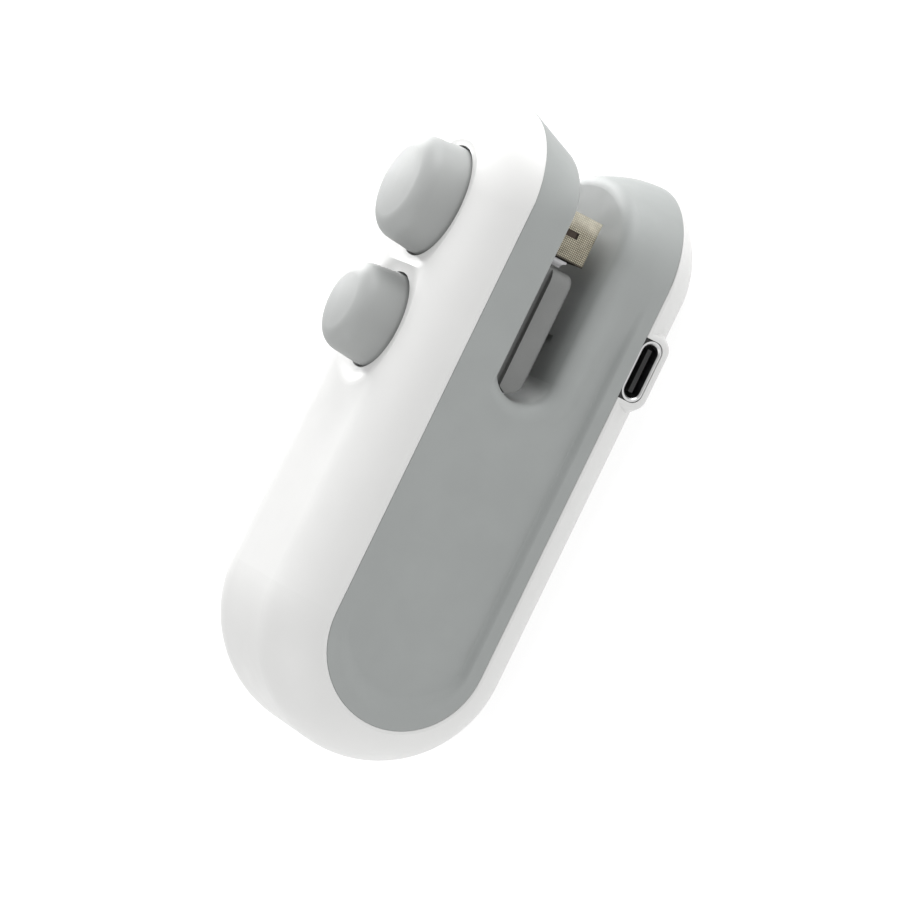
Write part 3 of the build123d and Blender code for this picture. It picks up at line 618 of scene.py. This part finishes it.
WHITE = (0.70, 0.70, 0.692)
GREY = (0.325, 0.340, 0.335)
PLAIN_LOOKS = {
    "shell_white": dict(colour=WHITE, rough=0.42, mottle=0.008, grain=0.22, depth=0.0025),
    "core_grey": dict(colour=GREY, rough=0.55, mottle=0.02, grain=0.16, depth=0.006),
    "button_grey": dict(colour=(0.36, 0.37, 0.365), rough=0.5, mottle=0.02, grain=0.16, depth=0.005),
    # painted shade: the blade carrier is the body's own grey, and this darker grey paints the shade it
    # sits in inside the slot
    "carrier_grey": dict(colour=(0.20, 0.204, 0.2), rough=0.5, mottle=0.05, grain=0.2, depth=0.006),
    "pad_silicone": dict(colour=(0.33, 0.343, 0.338), rough=0.55, mottle=0.02, grain=0.14, depth=0.005),
    "heater_ceramic": dict(colour=(0.05, 0.042, 0.035), rough=0.7, mottle=0.2, depth=0.01),
    "heating_wire": dict(
        colour=(0.05, 0.033, 0.022), rough=0.5, metal=0.3, mottle=0.25, grain=0.2, depth=0.004,
        swing=0.1, stretch=(1, 6, 6), patch=1.5,
    ),
    "clip_metal": dict(
        colour=(0.36, 0.36, 0.365), rough=0.5, metal=1.0, mottle=0.25, grain=0.25, depth=0.012,
        swing=0.08, stretch=(4, 4, 1), patch=2.0,
    ),
    "steel": dict(
        colour=(0.56, 0.56, 0.57), rough=0.3, metal=1.0, mottle=0.08, grain=0.3, depth=0.003,
        swing=0.08, stretch=(1, 1, 6), patch=2.0,
    ),
    "blade_steel": dict(
        colour=(0.62, 0.62, 0.63), rough=0.22, metal=1.0, mottle=0.06, grain=0.3, depth=0.003,
        swing=0.08, stretch=(1, 9, 1), patch=2.0,
    ),
    "contact_brass": dict(
        colour=(0.62, 0.45, 0.18), rough=0.3, metal=1.0, mottle=0.1, grain=0.3, depth=0.003,
        swing=0.08, stretch=(1, 6, 1), patch=2.0,
    ),
    "nickel": dict(
        colour=(0.55, 0.53, 0.5), rough=0.35, metal=1.0, mottle=0.1, grain=0.3, depth=0.003,
        swing=0.08, stretch=(6, 1, 1), patch=2.0,
    ),
    "socket_metal": dict(
        colour=(0.60, 0.60, 0.60), rough=0.3, metal=1.0, mottle=0.04, grain=0.3, depth=0.001,
        swing=0.05, stretch=(1, 1, 1), patch=2.0,
    ),
    "port_black": dict(colour=(0.012, 0.012, 0.012), rough=0.5, mottle=0.3, grain=0.2, depth=0.005),
    "cell_wrap": dict(
        colour=(0.02, 0.07, 0.24), rough=0.3, mottle=0.12, grain=0.5, depth=0.01, swing=0.1,
    ),
    "board_green": dict(
        colour=(0.01, 0.09, 0.035), rough=0.35, mottle=0.25, grain=0.3, depth=0.01, patch=1.2,
    ),
    "chip_black": dict(
        colour=(0.02, 0.02, 0.021), rough=0.6, mottle=0.3, grain=0.1, depth=0.006, patch=1.0,
    ),
    "capacitor_tan": dict(
        colour=(0.30, 0.20, 0.11), rough=0.5, mottle=0.2, grain=0.1, depth=0.004, patch=0.6,
    ),
    "lead_red": dict(
        colour=(0.32, 0.015, 0.012), rough=0.4, mottle=0.12, grain=0.2, depth=0.004, patch=1.5,
    ),
}
looks = {name: surface(name, **look) for name, look in PLAIN_LOOKS.items()}
looks["ptfe_cloth"] = weave_material()
slots = {row["node"]: row["material_slot"] for row in frame["record"]["subparts"]}
for node, shown in frame["nodes"].items():
    shown.data.materials.clear()
    shown.data.materials.append(looks[slots[node]])
added = [(core, "core_grey") for core in cores] + [(spring, "steel") for spring in springs]
added += [(cloth, "ptfe_cloth"), (pad, "pad_silicone")]
for piece, slot in added:
    piece.data.materials.append(looks[slot])

# ---------------------------------------------------------------- floor, light and camera

FLOOR_SIZE = 4.0
FLOOR_DIFFUSE = 0.3
FLOOR_GLOW = 0.78
AMBIENT = 0.64
LIGHTS = (  # name, place, watts and width
    ("key_light", (0.10, 0.15, 0.55), 0.95, 0.5),
    ("mouth_light", (0.52, 0.02, 0.14), 2.4, 0.4),
    ("far_light", (0.22, 0.50, 0.17), 2.8, 0.3),
    ("butt_light", (-0.50, -0.10, 0.40), 0.9, 0.5),
)
VIEW_ELEVATION = radians(24)
VIEW_ROLL = radians(64.07)
VIEW_DISTANCE = 0.65
VIEW_FIELD = 0.12857  # width of the view at the object
VIEW_RIGHT = 5.83 * MM  # from the foot of the butt's axis to the view's centre
VIEW_UP = 28.04 * MM
VIEW_NEAR = 0.01
SENSOR_MM = 36


def floor_material():
    """A pale light table: a soft glow with a faint grain."""
    material, nodes, links, shader = node_tree("floor_pale")
    coord = nodes.new("ShaderNodeTexCoord").outputs["Object"]
    clouds = noise(nodes, links, coord, 6.0, 2.0)
    pale = [FLOOR_DIFFUSE] * 3
    links.new(tinted(nodes, links, clouds, [c * 0.985 for c in pale], pale), shader.inputs["Base Color"])
    shader.inputs["Roughness"].default_value = 0.9
    shader.inputs["Specular IOR Level"].default_value = 0.1
    shader.inputs["Emission Color"].default_value = (1, 1, 1, 1)
    shader.inputs["Emission Strength"].default_value = FLOOR_GLOW
    return material


def add_floor():
    """A square floor under the object."""
    bm = bmesh.new()
    bmesh.ops.create_grid(bm, x_segments=1, y_segments=1, size=FLOOR_SIZE / 2)
    mesh = bpy.data.meshes.new("floor")
    bm.to_mesh(mesh)
    bm.free()
    mesh.materials.append(floor_material())
    floor = bpy.data.objects.new("floor", mesh)
    bpy.context.scene.collection.objects.link(floor)


def softbox(name, place, watts, size):
    """A square area light that faces the object."""
    light = bpy.data.lights.new(name, "AREA")
    light.energy = watts
    light.size = size
    lamp = bpy.data.objects.new(name, light)
    lamp.location = place
    lamp.rotation_euler = (-Vector(place)).to_track_quat("-Z", "Y").to_euler()
    bpy.context.scene.collection.objects.link(lamp)


def place_camera():
    """The viewpoint: from the port side, a little above, rolled so that the mouth is at the top."""
    level_right = Vector((1, 0, 0))
    level_up = Vector((0, sin(VIEW_ELEVATION), cos(VIEW_ELEVATION)))
    back = Vector((0, -cos(VIEW_ELEVATION), sin(VIEW_ELEVATION)))
    right = cos(VIEW_ROLL) * level_right - sin(VIEW_ROLL) * level_up
    up = sin(VIEW_ROLL) * level_right + cos(VIEW_ROLL) * level_up
    aim = Vector((BUTT_X, cad_bounds[0][1], MID)) + right * VIEW_RIGHT + up * VIEW_UP
    data = bpy.data.cameras.new("camera")
    data.sensor_width = SENSOR_MM
    data.lens = SENSOR_MM * VIEW_DISTANCE / VIEW_FIELD
    data.clip_start = VIEW_NEAR
    camera = bpy.data.objects.new("camera", data)
    bpy.context.scene.collection.objects.link(camera)
    turn = Matrix((right, up, back)).transposed().to_4x4()
    camera.matrix_world = Matrix.Translation(aim + back * VIEW_DISTANCE) @ turn
    bpy.context.scene.camera = camera


add_floor()
for name, place, watts, size in LIGHTS:
    softbox(name, place, watts, size)
world = bpy.data.worlds.new("studio")
world.use_nodes = True
world.node_tree.nodes["Background"].inputs["Color"].default_value = (1, 1, 1, 1)
world.node_tree.nodes["Background"].inputs["Strength"].default_value = AMBIENT
scene = bpy.context.scene
scene.world = world
scene.view_settings.view_transform = "Standard"
place_camera()
